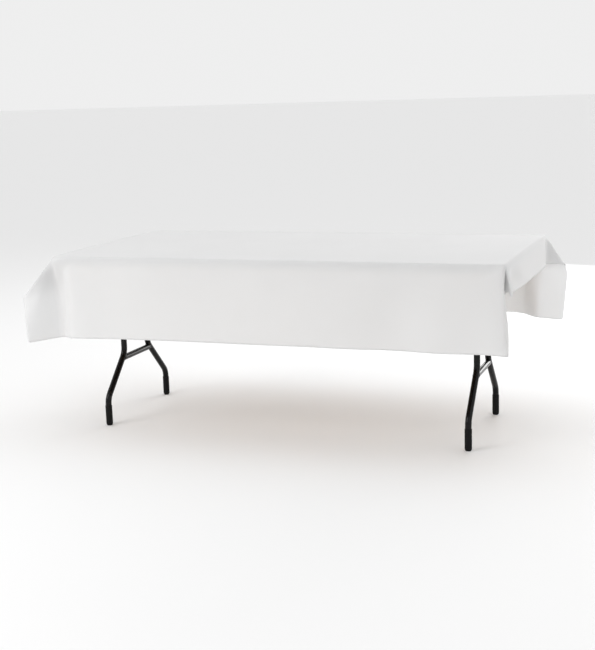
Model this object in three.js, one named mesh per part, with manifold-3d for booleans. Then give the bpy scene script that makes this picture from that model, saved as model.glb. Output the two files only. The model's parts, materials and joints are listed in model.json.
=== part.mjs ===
// A 6 ft by 3 ft folding banquet table dressed with a plain white tablecloth.
// The cloth lies on the laminated top and hangs down on all four sides. Each end of
// the table stands on a wishbone leg frame that folds up under the top on a hinge tube,
// and a two-link folding stay holds each frame open.
//
// Millimetres. +X runs along the table, +Y to its back, +Z up. The origin is on the
// floor, under the middle of the top.

import * as THREE from 'three';
import { mergeVertices } from 'three/addons/utils/BufferGeometryUtils.js';
import Module from 'manifold-3d';

const wasm = await Module();
wasm.setup();

// ---- driving dimensions ----------------------------------------------------------

const gap = 0.3;                  // left between two pieces that touch
const cutMargin = 1;              // how far a hole's cutter runs past the faces it cuts
const roundSides = 24;            // facets round a tube-sized cutter
const smallSides = 12;            // facets round a screw, a rivet or its hole

// The top
const tableHeight = 737;          // floor to the laminate's face
const topLength = 1829;
const topWidth = 914;
const cornerRadius = 65;
const laminateThickness = 1;
const coreThickness = 18;
const bandThickness = 3;
const bandLip = 1.5;              // how far the edge band reaches below the core

// The two steel rails that stiffen the top
const railLength = 1380;
const railInset = 106;            // from the top's long edge to the rail's upright web
const railFlange = 25;
const railDepth = 28;
const railThickness = 1.5;
const railScrewPitch = 600;

// The leg frames
const frameSpacing = 1537;        // between the two hinge tubes
const frameShift = -30;           // both frames sit this far to the left of the top's middle
const hingeDrop = 36;             // from the top's underside to the hinge tube's axis
const hingeTubeLength = 524;
const tubeRadius = 12.7;
const tubeWall = 1.5;
const legSpread = 216;            // between the two leg tubes above the waist
const footSpread = 545;           // between the two feet
const splayAngle = Math.PI / 4;   // of the stretch below the waist, from upright
const bendRadius = 60;
const crossBarDrop = 21;          // from the waist down to the cross bar's axis
const footClearRun = 4.6;         // straight tube between the foot sleeve and the lower bend
const stayBarRadius = 8;
const footHeight = 86;
const footWall = 2;
const footFloor = 5;
const footFaceRadius = 9;
const footRollHeight = 12;        // of the sleeve's rounded bottom edge
const footRimBevel = 1.5;

// The hinge brackets
const bracketThickness = 2.5;
const bracketWidth = 32;
const bracketSpread = 470;        // between the two brackets of a frame
const bracketFlange = 22;
const hingeClearance = 0.8;       // round the hinge tube, which turns in its brackets

// The folding stays
const stayReach = 280;            // along the top, from the hinge axis to the stay bracket's pin
const stayPinDrop = 12;           // from the underside to that pin
const lugDrop = 240;              // down the leg frame, from the hinge axis to the lug's rivet
const lugReach = 18;              // from the stay bar's axis to the lug's rivet
const stowedKneeRise = 20;        // the knee's height over the folded leg frame's middle plane
const stayTolerance = 1e-9;       // how closely the knee's place is worked out
const linkThickness = 3;
const linkHalfWidth = 8;
const linkSideGap = 0.5;          // between the two links' faces
const rivetRadius = 3;
const rivetHeadRadius = 5.5;
const rivetHeadHeight = 2;
const cheekGap = 8.4;             // inside the stay bracket
const cheekThickness = 2.5;
const stayBracketLength = 34;
const stayBracketWidth = 52;
const lugThickness = 3;
const lugHalfWidth = 9;

// Screws
const screwShankRadius = 2;
const screwShankLength = 14;
const screwHeadRadius = 4.5;
const screwHeadHeight = 2.6;
const screwHoleClearance = 0.5;

// The cloth
const clothThickness = 1.5;
const clothClearance = 1;         // between the cloth and the edge band
const frontDrop = 331;
const backDrop = 350;
const leftDrop = 140;             // length of cloth past the left end of the top
const rightDrop = 120;            // and past its right end
const longStandOff = 5;           // how far a long side's hem hangs clear of the top's edge
const flapFlare = 22;             // how far the end flaps' hems stand out from the top's ends
const wrapReach = 14;             // how far the front drop runs past the top's right end
const foldInset = 6;              // how far that fold lies in from the front hem
// At three corners the spare cloth stands out in an ear. The ear's tip is the end of the
// fold that runs down from the top's corner, and its tail is the sheet's own corner. Each
// is how far past the top's end, how far past its long side, and how far below its face.
const frontLeftEar = { tip: [94, 70, 140], tail: [72, 100, 341] };
const backLeftEar = { tip: [90, 68, 140], tail: [66, 88, 352] };
const backRightEar = { tip: [90, 52, 125], tail: [73, 18, 368] };
const longSideSteps = 16;
const shortSideSteps = 8;
const cornerSteps = 12;
const skirtRings = 3;

// ---- sizes worked out from them ---------------------------------------------------

const topUnderside = tableHeight - laminateThickness - gap - coreThickness;
const hingeHeight = topUnderside - hingeDrop;
const clothTop = tableHeight + gap + clothThickness;
const footRadius = tubeRadius + gap + footWall;
const splayDrop = (footSpread - legSpread) / 2 / Math.tan(splayAngle);
const lowerBendHeight = footHeight + footClearRun + bendRadius * Math.tan(splayAngle / 2);
const waistHeight = lowerBendHeight + splayDrop;
const crossBarHeight = waistHeight - crossBarDrop;
const screwHoleRadius = screwShankRadius + screwHoleClearance;
const railWebOffset = topWidth / 2 - railInset;

// ---- materials ----------------------------------------------------------------------

const clothFinish = { color: 0xeeeeee, roughness: 0.85, metalness: 0 };
const laminateFinish = { color: 0xd9d6cf, roughness: 0.45, metalness: 0 };
const coreFinish = { color: 0xb58f5f, roughness: 0.7, metalness: 0 };
const bandFinish = { color: 0x202020, roughness: 0.5, metalness: 0 };
const blackSteel = { color: 0x0b0b0c, roughness: 0.28, metalness: 0.4 };
const footPlastic = { color: 0x1d1d1f, roughness: 0.6, metalness: 0 };
const zincSteel = { color: 0xa9a9a6, roughness: 0.35, metalness: 0.9 };

// ---- helpers ----------------------------------------------------------------------

const model = new THREE.Group();

function place(parent, name, geometry, finish) {
  const mesh = new THREE.Mesh(geometry, new THREE.MeshStandardMaterial(finish));
  mesh.name = name;
  parent.add(mesh);
  return mesh;
}

// A closed geometry as a solid that can be joined and cut.
function solid(geometry) {
  const bare = geometry.index ? geometry.toNonIndexed() : geometry.clone();
  bare.deleteAttribute('normal');
  bare.deleteAttribute('uv');
  const merged = mergeVertices(bare, 1e-4);
  return new wasm.Manifold(new wasm.Mesh({
    numProp: 3,
    vertProperties: new Float32Array(merged.attributes.position.array),
    triVerts: new Uint32Array(merged.index.array),
  }));
}

function geometryOf(body) {
  const mesh = body.getMesh();
  const geometry = new THREE.BufferGeometry();
  geometry.setAttribute('position', new THREE.BufferAttribute(mesh.vertProperties, 3));
  geometry.setIndex(new THREE.BufferAttribute(mesh.triVerts, 1));
  return geometry;
}

function cut(geometry, ...tools) {
  const body = tools.reduce((rest, tool) => rest.subtract(solid(tool)), solid(geometry));
  return geometryOf(body);
}

// A cylinder along Y.
function cylinder(radius, length, centre, sides) {
  return new THREE.CylinderGeometry(radius, radius, length, sides).translate(...centre);
}

function circle(radius, x = 0, y = 0) {
  return new THREE.Path().absarc(x, y, radius, 0, 2 * Math.PI);
}

// A flat shape drawn in X and Z and made thick along Y, from nearY to farY.
function plate(shape, nearY, farY, curveSegments = 6) {
  const geometry = new THREE.ExtrudeGeometry(shape, {
    depth: farY - nearY, bevelEnabled: false, curveSegments,
  });
  return geometry.rotateX(Math.PI / 2).translate(0, farY, 0);
}

// A path known only at its stations, each with a place and a direction.
class StationPath extends THREE.Curve {
  constructor(stations) {
    super();
    this.stations = stations;
  }

  at(u) {
    return this.stations[Math.round(u * (this.stations.length - 1))];
  }

  getPointAt(u) {
    return this.at(u).point.clone();
  }

  getTangentAt(u) {
    return this.at(u).tangent.clone();
  }
}

// Stations along straight runs in the YZ plane, joined by arcs of one bend radius.
function bentPath(corners, radius, arcSteps = 5) {
  const points = corners.map(([y, z]) => new THREE.Vector3(0, y, z));
  const ways = points.slice(1).map((p, i) => p.clone().sub(points[i]).normalize());
  const stations = [{ point: points[0], tangent: ways[0] }];
  for (let i = 1; i < points.length - 1; i++) {
    const turn = ways[i - 1].angleTo(ways[i]);
    const side = ways[i].clone().addScaledVector(ways[i - 1], -Math.cos(turn)).normalize();
    const start = points[i].clone().addScaledVector(ways[i - 1], -radius * Math.tan(turn / 2));
    for (let k = 0; k <= arcSteps; k++) {
      const angle = turn * k / arcSteps;
      const point = start.clone()
        .addScaledVector(ways[i - 1], radius * Math.sin(angle))
        .addScaledVector(side, radius * (1 - Math.cos(angle)));
      const tangent = ways[i - 1].clone().multiplyScalar(Math.cos(angle))
        .addScaledVector(side, Math.sin(angle));
      stations.push({ point, tangent });
    }
  }
  stations.push({ point: points[points.length - 1], tangent: ways[ways.length - 1] });
  return new StationPath(stations);
}

function tubeAlong(path, outer, inner) {
  const section = new THREE.Shape().absarc(0, 0, outer, 0, 2 * Math.PI);
  if (inner > 0) section.holes.push(circle(inner));
  return new THREE.ExtrudeGeometry(section, {
    extrudePath: path, steps: path.stations.length - 1, curveSegments: 8,
  });
}

function straightTube(length, outer, inner) {
  return tubeAlong(bentPath([[-length / 2, 0], [length / 2, 0]], 0), outer, inner);
}

function roundedRectangle(halfX, halfY, radius) {
  const shape = new THREE.Shape();
  shape.absarc(halfX - radius, halfY - radius, radius, 0, Math.PI / 2);
  shape.absarc(radius - halfX, halfY - radius, radius, Math.PI / 2, Math.PI);
  shape.absarc(radius - halfX, radius - halfY, radius, Math.PI, 1.5 * Math.PI);
  shape.absarc(halfX - radius, radius - halfY, radius, 1.5 * Math.PI, 2 * Math.PI);
  shape.closePath();
  return shape;
}

function slab(inset, thickness, bottom) {
  const shape = roundedRectangle(topLength / 2 - inset, topWidth / 2 - inset,
    cornerRadius - inset);
  return new THREE.ExtrudeGeometry(shape, {
    depth: thickness, bevelEnabled: false, curveSegments: 5,
  }).translate(0, 0, bottom);
}

// ---- screws -------------------------------------------------------------------------

// A pan head screw that points up. Its place is the middle of the face its head bears on.
function screwGeometry() {
  const seat = -gap;
  const profile = [
    [0, seat - screwHeadHeight],
    [screwHeadRadius * 0.7, seat - screwHeadHeight * 0.85],
    [screwHeadRadius, seat - screwHeadHeight * 0.35],
    [screwHeadRadius, seat],
    [screwShankRadius, seat],
    [screwShankRadius, screwShankLength - 2 * screwShankRadius],
    [0, screwShankLength],
  ];
  const points = profile.map(([r, z]) => new THREE.Vector2(r, z));
  return new THREE.LatheGeometry(points, smallSides).rotateX(Math.PI / 2);
}

const screwPlaces = [];

function addScrew(parent, name, x, y, flangeThickness) {
  const z = topUnderside - gap - flangeThickness;
  const mesh = place(parent, name, screwGeometry(), zincSteel);
  mesh.position.set(x, y, z);
  screwPlaces.push([x, y, z]);
}

function screwHole(x, y, bottom, top) {
  return cylinder(screwHoleRadius, top - bottom, [0, 0, 0], smallSides)
    .rotateX(Math.PI / 2).translate(x, y, (top + bottom) / 2);
}

// ---- rails ----------------------------------------------------------------------------

// An angle section: a flange flat on the underside and a web that hangs from its outer edge.
function addRail(name, side) {
  const inner = railWebOffset - railFlange;
  const top = topUnderside - gap;
  const section = new THREE.Shape([
    [inner, top],
    [railWebOffset, top],
    [railWebOffset, top - railDepth],
    [railWebOffset - railThickness, top - railDepth],
    [railWebOffset - railThickness, top - railThickness],
    [inner, top - railThickness],
  ].map(([y, z]) => new THREE.Vector2(side * y, z)));
  const rail = new THREE.ExtrudeGeometry(section, { depth: railLength, bevelEnabled: false })
    .rotateX(Math.PI / 2).rotateZ(Math.PI / 2).translate(-railLength / 2, 0, 0);
  const screwY = side * (inner + railFlange / 2);
  const holes = [-1, 0, 1].map((step) => {
    const x = step * railScrewPitch;
    addScrew(model, `${name}_screw_${step + 2}`, x, screwY, railThickness);
    return screwHole(x, screwY, top - railThickness - cutMargin, top + cutMargin);
  });
  place(model, name, cut(rail, ...holes), blackSteel);
}

// ---- hinge brackets --------------------------------------------------------------------

// A steel strap that hangs in a U round the hinge tube, with a screwed flange on each side.
function addHingeBracket(name, hingeX, y) {
  const bore = tubeRadius + hingeClearance;
  const outer = bore + bracketThickness;
  const top = topUnderside - gap;
  const reach = outer + bracketFlange;
  const shape = new THREE.Shape();
  shape.moveTo(-reach, top);
  shape.lineTo(-bore, top);
  shape.lineTo(-bore, hingeHeight);
  shape.absarc(0, hingeHeight, bore, Math.PI, 2 * Math.PI, false);
  shape.lineTo(bore, top);
  shape.lineTo(reach, top);
  shape.lineTo(reach, top - bracketThickness);
  shape.lineTo(outer, top - bracketThickness);
  shape.lineTo(outer, hingeHeight);
  shape.absarc(0, hingeHeight, outer, 0, -Math.PI, true);
  shape.lineTo(-outer, top - bracketThickness);
  shape.lineTo(-reach, top - bracketThickness);
  shape.closePath();
  const strap = plate(shape, y - bracketWidth / 2, y + bracketWidth / 2, 10)
    .translate(hingeX, 0, 0);
  const holes = [-1, 1].map((side, i) => {
    const x = hingeX + side * (outer + bracketFlange / 2);
    addScrew(model, `${name}_screw_${i + 1}`, x, y, bracketThickness);
    return screwHole(x, y, top - bracketThickness - cutMargin, top + cutMargin);
  });
  place(model, name, cut(strap, ...holes), zincSteel);
}

// ---- leg frames -------------------------------------------------------------------------

// One wishbone tube in the YZ plane, from the hinge tube's axis down to its foot.
function legPath(side) {
  const upper = legSpread / 2;
  const foot = footSpread / 2;
  return bentPath([
    [side * upper, hingeHeight],
    [side * upper, waistHeight],
    [side * foot, lowerBendHeight],
    [side * foot, footFloor + gap],
  ], bendRadius);
}

function addLeg(parent, name, side) {
  const tube = tubeAlong(legPath(side), tubeRadius, tubeRadius - tubeWall);
  const cope = cylinder(tubeRadius + gap, 4 * tubeRadius,
    [0, side * legSpread / 2, hingeHeight], roundSides);
  place(parent, name, cut(tube, cope), blackSteel);
}

// A bar along Y between the two leg tubes, its ends shaped to them.
function barGeometry(height, radius) {
  const bar = straightTube(2 * waistHalfSpread(height), radius, radius - tubeWall)
    .translate(0, 0, height);
  const legs = [-1, 1].map((side) => tubeAlong(legPath(side), tubeRadius + gap, 0));
  return cut(bar, ...legs);
}

// Half the distance between the leg tubes' axes at a height above the lower bend.
function waistHalfSpread(height) {
  const splayed = Math.max(0, waistHeight - height) * Math.tan(splayAngle);
  return legSpread / 2 + splayed;
}

// A plastic sleeve with a closed, rounded end, pushed on to the bottom of the leg.
function footGeometry() {
  const bore = tubeRadius + gap;
  const rolledEdge = [0, 30, 60, 90].map((degrees) => {
    const angle = THREE.MathUtils.degToRad(degrees);
    return [
      footFaceRadius + (footRadius - footFaceRadius) * Math.sin(angle),
      footRollHeight * (1 - Math.cos(angle)),
    ];
  });
  const profile = [
    [0, 0],
    ...rolledEdge,
    [footRadius, footHeight - footRimBevel],
    [footRadius - footRimBevel, footHeight],
    [bore, footHeight],
    [bore, footFloor],
    [0, footFloor],
  ];
  const points = profile.map(([r, z]) => new THREE.Vector2(r, z));
  return new THREE.LatheGeometry(points, roundSides).rotateX(Math.PI / 2);
}

// A rivet along Y with one head. headSide is -1 for a head at its start, 1 at its end.
function rivetGeometry(shankStart, shankEnd, headSide) {
  const shank = cylinder(rivetRadius, shankEnd - shankStart,
    [0, (shankStart + shankEnd) / 2, 0], smallSides);
  const headAt = headSide < 0 ? shankStart : shankEnd;
  const head = cylinder(rivetHeadRadius, rivetHeadHeight,
    [0, headAt + headSide * rivetHeadHeight / 2, 0], smallSides);
  return geometryOf(solid(shank).add(solid(head)));
}

// ---- the folding stay's geometry --------------------------------------------------------

// Seen from the front on the left frame: x runs towards the table's middle, z up, and
// the hinge axis is the origin. The links lie in one line when the leg is open, and
// folded double over the leg frame when it is stowed. The stowed knee is found by halving
// until the two links, folded double, are as long as they are in one line.
function stayGeometry() {
  const pin = new THREE.Vector2(stayReach, hingeDrop - stayPinDrop);
  const lugOpen = new THREE.Vector2(lugReach, -lugDrop);
  const lugStowed = new THREE.Vector2(lugDrop, lugReach);
  const span = pin.distanceTo(lugOpen);
  const stowedKnee = new THREE.Vector2(0, stowedKneeRise);
  for (let step = lugDrop / 2; step > stayTolerance; step /= 2) {
    const links = pin.distanceTo(stowedKnee) + lugStowed.distanceTo(stowedKnee);
    stowedKnee.x += links > span ? step : -step;
  }
  const upperShare = pin.distanceTo(stowedKnee) / span;
  return { pin, lug: lugOpen, knee: pin.clone().lerp(lugOpen, upperShare) };
}

const stay = stayGeometry();

// A flat steel link between two pivots, in X and Z, with round ends and a hole at each.
function linkShape(from, to) {
  const way = to.clone().sub(from);
  const angle = way.angle();
  const shape = new THREE.Shape();
  shape.absarc(from.x, from.y, linkHalfWidth, angle + Math.PI / 2, angle + 1.5 * Math.PI);
  shape.absarc(to.x, to.y, linkHalfWidth, angle - Math.PI / 2, angle + Math.PI / 2);
  shape.closePath();
  shape.holes.push(circle(rivetRadius + gap, from.x, from.y));
  shape.holes.push(circle(rivetRadius + gap, to.x, to.y));
  return shape;
}

// ---- the top ------------------------------------------------------------------------------

function addTop() {
  const edge = bandThickness + gap;
  const coreBottom = topUnderside;
  const core = slab(edge, coreThickness, coreBottom);
  const pilots = screwPlaces.map(([x, y, z]) => (
    screwHole(x, y, coreBottom - cutMargin, z + screwShankLength + screwHoleClearance)
  ));
  place(model, 'top_core', cut(core, ...pilots), coreFinish);
  place(model, 'top_laminate', slab(edge, laminateThickness,
    tableHeight - laminateThickness), laminateFinish);
  const bandBottom = topUnderside - bandLip;
  const ring = roundedRectangle(topLength / 2, topWidth / 2, cornerRadius);
  ring.holes.push(roundedRectangle(topLength / 2 - bandThickness,
    topWidth / 2 - bandThickness, cornerRadius - bandThickness));
  place(model, 'edge_band', new THREE.ExtrudeGeometry(ring, {
    depth: tableHeight - bandBottom, bevelEnabled: false, curveSegments: 5,
  }).translate(0, 0, bandBottom), bandFinish);
}

// ---- the cloth ------------------------------------------------------------------------------

// The cloth is one sheet. Its skirt is ruled between the outline of the top and the hem.
// Each station holds a point of the outline, a point of the hem and the way inwards there.
function clothStations() {
  const halfX = topLength / 2 + clothClearance + clothThickness;
  const halfY = topWidth / 2 + clothClearance + clothThickness;
  const r = cornerRadius + clothClearance + clothThickness;
  const stations = [];
  const add = (edge, hem, inward) => {
    stations.push({
      edge: new THREE.Vector3(edge[0], edge[1], clothTop),
      hem: new THREE.Vector3(...hem),
      inward: new THREE.Vector3(Math.cos(inward), Math.sin(inward), 0),
    });
  };

  // A straight side, from one corner's end to the next one's start.
  const side = (from, to, hemFrom, hemTo, inward, count) => {
    for (let k = 0; k < count; k++) {
      const t = k / count;
      const mix = (a, b) => a.map((value, i) => value + (b[i] - value) * t);
      add(mix(from, to), mix(hemFrom, hemTo), inward);
    }
  };

  // A corner: the outline runs round its arc while the hem runs along a few straight legs.
  const corner = (centre, startAngle, hemPoints) => {
    for (let k = 0; k < cornerSteps; k++) {
      const t = k / cornerSteps;
      const angle = startAngle + t * Math.PI / 2;
      const leg = Math.min(hemPoints.length - 2, Math.floor(t * (hemPoints.length - 1)));
      const along = t * (hemPoints.length - 1) - leg;
      const hem = hemPoints[leg].map((value, i) => (
        value + (hemPoints[leg + 1][i] - value) * along
      ));
      add([centre[0] + r * Math.cos(angle), centre[1] + r * Math.sin(angle)], hem,
        angle + Math.PI);
    }
  };

  const cx = halfX - r;
  const cy = halfY - r;
  const frontHem = clothTop - frontDrop;
  const backHem = clothTop - backDrop;
  const flapHem = (drop) => clothTop - Math.sqrt(drop ** 2 - flapFlare ** 2);
  const frontY = -halfY - longStandOff;
  const backY = halfY + longStandOff;
  const flapX = halfX + flapFlare;
  // A point of the ear at the corner that sideX and sideY, each 1 or -1, point to.
  const earPoint = ([pastEnd, pastSide, drop], sideX, sideY) => (
    [sideX * (halfX + pastEnd), sideY * (halfY + pastSide), clothTop - drop]
  );

  const frontLeftHem = [-cx, frontY, frontHem];
  const frontRightHem = [cx, frontY, frontHem];
  const rightFrontHem = [flapX, -cy, flapHem(rightDrop)];
  const rightBackHem = [flapX, cy, flapHem(rightDrop)];
  const backRightHem = [cx, backY, backHem];
  const backLeftHem = [-cx, backY, backHem];
  const leftBackHem = [-flapX, cy, flapHem(leftDrop)];
  const leftFrontHem = [-flapX, -cy, flapHem(leftDrop)];

  side([-cx, -halfY], [cx, -halfY], frontLeftHem, frontRightHem, Math.PI / 2, longSideSteps);
  corner([cx, -cy], -Math.PI / 2, [
    frontRightHem,
    [halfX + wrapReach, frontY + foldInset, frontHem],
    [halfX + wrapReach, -cy, frontHem],
    rightFrontHem,
  ]);
  side([halfX, -cy], [halfX, cy], rightFrontHem, rightBackHem, Math.PI, shortSideSteps);
  corner([cx, cy], 0, [
    rightBackHem,
    earPoint(backRightEar.tip, 1, 1),
    earPoint(backRightEar.tail, 1, 1),
    backRightHem,
  ]);
  side([cx, halfY], [-cx, halfY], backRightHem, backLeftHem, -Math.PI / 2, longSideSteps);
  corner([-cx, cy], Math.PI / 2, [
    backLeftHem,
    earPoint(backLeftEar.tail, -1, 1),
    earPoint(backLeftEar.tip, -1, 1),
    leftBackHem,
  ]);
  side([-halfX, cy], [-halfX, -cy], leftBackHem, leftFrontHem, 0, shortSideSteps);
  corner([-cx, -cy], Math.PI, [
    leftFrontHem,
    earPoint(frontLeftEar.tip, -1, -1),
    earPoint(frontLeftEar.tail, -1, -1),
    frontLeftHem,
  ]);
  return stations;
}

// Two skins a cloth's thickness apart, each a fan over the top and rings down the skirt.
function clothGeometry() {
  const stations = clothStations();
  const count = stations.length;
  const positions = [];
  const pushSkin = (inset) => {
    const start = positions.length / 3;
    positions.push(0, 0, clothTop - inset);
    for (let ring = 0; ring <= skirtRings; ring++) {
      stations.forEach(({ edge, hem, inward }) => {
        const point = edge.clone().lerp(hem, ring / skirtRings).addScaledVector(inward, inset);
        if (ring === 0) point.z -= inset;
        positions.push(point.x, point.y, point.z);
      });
    }
    return start;
  };
  const outer = pushSkin(0);
  const inner = pushSkin(clothThickness);
  const index = [];
  const at = (skin, ring, k) => skin + 1 + ring * count + (k % count);
  for (let k = 0; k < count; k++) {
    index.push(outer, at(outer, 0, k), at(outer, 0, k + 1));
    index.push(inner, at(inner, 0, k + 1), at(inner, 0, k));
    for (let ring = 0; ring < skirtRings; ring++) {
      const [a, b] = [at(outer, ring, k), at(outer, ring, k + 1)];
      const [c, d] = [at(outer, ring + 1, k), at(outer, ring + 1, k + 1)];
      index.push(a, c, b, b, c, d);
      const [e, f] = [at(inner, ring, k), at(inner, ring, k + 1)];
      const [g, h] = [at(inner, ring + 1, k), at(inner, ring + 1, k + 1)];
      index.push(e, f, g, f, h, g);
    }
    const [p, q] = [at(outer, skirtRings, k), at(outer, skirtRings, k + 1)];
    const [s, t] = [at(inner, skirtRings, k), at(inner, skirtRings, k + 1)];
    index.push(p, s, q, q, s, t);
  }
  const geometry = new THREE.BufferGeometry();
  geometry.setAttribute('position', new THREE.Float32BufferAttribute(positions, 3));
  geometry.setIndex(index);
  return geometry;
}

// ---- one end of the table ---------------------------------------------------------------------

// side is -1 for the left end and 1 for the right end.
function addEnd(name, side) {
  const hingeX = frameShift + side * frameSpacing / 2;
  [['front', -1], ['back', 1]].forEach(([label, ySide]) => {
    addHingeBracket(`${name}_hinge_bracket_${label}`, hingeX, ySide * bracketSpread / 2);
  });

  const frame = new THREE.Group();
  frame.position.x = hingeX;
  model.add(frame);
  const hingeTube = straightTube(hingeTubeLength, tubeRadius, tubeRadius - tubeWall);
  place(frame, `${name}_hinge_tube`, hingeTube, blackSteel).position.z = hingeHeight;
  [['front', -1], ['back', 1]].forEach(([label, ySide]) => {
    addLeg(frame, `${name}_leg_${label}`, ySide);
    const foot = place(frame, `${name}_foot_${label}`, footGeometry(), footPlastic);
    foot.position.y = ySide * footSpread / 2;
  });
  place(frame, `${name}_cross_bar`, barGeometry(crossBarHeight, tubeRadius), blackSteel);
  const lugHeight = hingeHeight - lugDrop;
  place(frame, `${name}_stay_bar`, barGeometry(lugHeight, stayBarRadius), blackSteel);

  // Points of the stay, in X and Z, on this end of the table.
  const inwards = -side;
  const at = (point) => new THREE.Vector2(inwards * point.x, hingeHeight + point.y);
  const pin = at(stay.pin);
  const lug = at(stay.lug);
  const knee = at(stay.knee);

  const upperNear = linkSideGap / 2;
  const upperFar = upperNear + linkThickness;
  const upperLink = plate(linkShape(pin, knee), upperNear, upperFar);
  place(frame, `${name}_stay_upper_link`, upperLink, zincSteel);
  const lowerLink = plate(linkShape(lug, knee), -upperFar, -upperNear);
  place(frame, `${name}_stay_lower_link`, lowerLink, zincSteel);

  // The knee's rivet is two halves, one held by each link, that meet between the links.
  const upperRivet = rivetGeometry(upperNear, upperFar + gap, 1);
  place(frame, `${name}_knee_rivet_upper`, upperRivet, zincSteel)
    .position.set(knee.x, 0, knee.y);
  const lowerRivet = rivetGeometry(-upperFar - gap, -upperNear, -1);
  place(frame, `${name}_knee_rivet_lower`, lowerRivet, zincSteel)
    .position.set(knee.x, 0, knee.y);

  // The lug is a plate on the stay bar, beside the lower link.
  const lugFar = -upperFar - gap;
  const lugNear = lugFar - lugThickness;
  const lugShape = new THREE.Shape();
  lugShape.moveTo(0, lug.y - lugHalfWidth);
  lugShape.absarc(inwards * lugReach, lug.y, lugHalfWidth, -Math.PI / 2, Math.PI / 2,
    inwards < 0);
  lugShape.lineTo(0, lug.y + lugHalfWidth);
  lugShape.closePath();
  lugShape.holes.push(circle(rivetRadius + gap, lug.x, lug.y));
  const bar = cylinder(stayBarRadius + gap, -4 * lugNear, [0, 0, lug.y], roundSides);
  place(frame, `${name}_stay_lug`, cut(plate(lugShape, lugNear, lugFar), bar), blackSteel);
  place(frame, `${name}_lug_rivet`, rivetGeometry(lugNear - gap, -upperNear, -1), zincSteel)
    .position.set(lug.x, 0, lug.y);

  addStayBracket(name, hingeX + pin.x);
}

// A U bracket under the top that holds the upper link's end on a rivet.
function addStayBracket(name, pinX) {
  const top = topUnderside - gap;
  const inner = cheekGap / 2;
  const outer = inner + cheekThickness;
  const bottom = topUnderside - stayPinDrop - linkHalfWidth;
  const section = new THREE.Shape([
    [-stayBracketWidth / 2, top],
    [-stayBracketWidth / 2, top - bracketThickness],
    [-outer, top - bracketThickness],
    [-outer, bottom],
    [-inner, bottom],
    [-inner, top - bracketThickness],
    [inner, top - bracketThickness],
    [inner, bottom],
    [outer, bottom],
    [outer, top - bracketThickness],
    [stayBracketWidth / 2, top - bracketThickness],
    [stayBracketWidth / 2, top],
  ].map(([y, z]) => new THREE.Vector2(y, z)));
  const body = new THREE.ExtrudeGeometry(section, {
    depth: stayBracketLength, bevelEnabled: false,
  }).rotateX(Math.PI / 2).rotateZ(Math.PI / 2)
    .translate(pinX - stayBracketLength / 2, 0, 0);
  const pinZ = topUnderside - stayPinDrop;
  const pinHole = cylinder(rivetRadius + gap, stayBracketWidth, [pinX, 0, pinZ], smallSides);
  const screwY = (outer + stayBracketWidth / 2) / 2;
  const holes = [-1, 1].map((ySide, i) => {
    addScrew(model, `${name}_stay_bracket_screw_${i + 1}`, pinX, ySide * screwY,
      bracketThickness);
    return screwHole(pinX, ySide * screwY, top - bracketThickness - cutMargin,
      top + cutMargin);
  });
  place(model, `${name}_stay_bracket`, cut(body, pinHole, ...holes), zincSteel);
  const shank = cylinder(rivetRadius, 2 * (outer + gap), [0, 0, 0], smallSides);
  const heads = [-1, 1].map((ySide) => cylinder(rivetHeadRadius, rivetHeadHeight,
    [0, ySide * (outer + gap + rivetHeadHeight / 2), 0], smallSides));
  const rivet = geometryOf(solid(shank).add(solid(heads[0])).add(solid(heads[1])));
  place(model, `${name}_stay_bracket_rivet`, rivet, zincSteel).position.set(pinX, 0, pinZ);
}

// ---- the whole table ----------------------------------------------------------------------------

addEnd('left', -1);
addEnd('right', 1);
addRail('front_rail', -1);
addRail('back_rail', 1);
addTop();
place(model, 'tablecloth', clothGeometry(), clothFinish);

export default model;
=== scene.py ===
# %% [markdown]
# # A folding banquet table under a plain white tablecloth
# The object is a six foot folding table, dressed with one sheet of soft white cloth. The
# steel frame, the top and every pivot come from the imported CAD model, which is loaded as a
# fixed frame. This lesson adds what CAD leaves out: the drape of the cloth, round tubes
# with welds, moulded feet, screw and rivet heads, and a finish for every surface.

# %% Load the fixed frame
import json
import math

import bmesh
import bpy
import numpy as np
from mathutils import Matrix, Vector


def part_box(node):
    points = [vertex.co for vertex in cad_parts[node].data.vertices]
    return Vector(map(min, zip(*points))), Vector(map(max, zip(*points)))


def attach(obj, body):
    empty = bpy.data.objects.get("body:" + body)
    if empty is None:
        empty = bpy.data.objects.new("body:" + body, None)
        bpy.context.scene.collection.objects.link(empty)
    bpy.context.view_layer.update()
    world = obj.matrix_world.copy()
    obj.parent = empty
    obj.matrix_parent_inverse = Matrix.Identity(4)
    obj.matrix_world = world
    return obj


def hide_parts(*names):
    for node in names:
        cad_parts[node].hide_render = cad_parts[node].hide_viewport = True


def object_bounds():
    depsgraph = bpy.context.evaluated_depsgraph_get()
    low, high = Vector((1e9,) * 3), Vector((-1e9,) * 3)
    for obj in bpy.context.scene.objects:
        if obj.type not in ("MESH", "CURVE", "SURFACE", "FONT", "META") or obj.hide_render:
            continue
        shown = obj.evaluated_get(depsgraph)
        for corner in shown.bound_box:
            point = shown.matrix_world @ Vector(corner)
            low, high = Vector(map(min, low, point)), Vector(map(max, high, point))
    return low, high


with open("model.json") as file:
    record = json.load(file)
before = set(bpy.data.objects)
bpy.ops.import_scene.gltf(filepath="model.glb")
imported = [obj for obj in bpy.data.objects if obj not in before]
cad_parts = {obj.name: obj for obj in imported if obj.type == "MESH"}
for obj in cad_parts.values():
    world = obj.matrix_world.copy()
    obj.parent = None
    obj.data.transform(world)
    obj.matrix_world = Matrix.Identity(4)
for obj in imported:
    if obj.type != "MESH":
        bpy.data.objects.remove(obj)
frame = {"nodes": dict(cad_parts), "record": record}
cad_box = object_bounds()
nodes = frame["nodes"]
print("CAD box", [round(v, 4) for corner in cad_box for v in corner])

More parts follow.
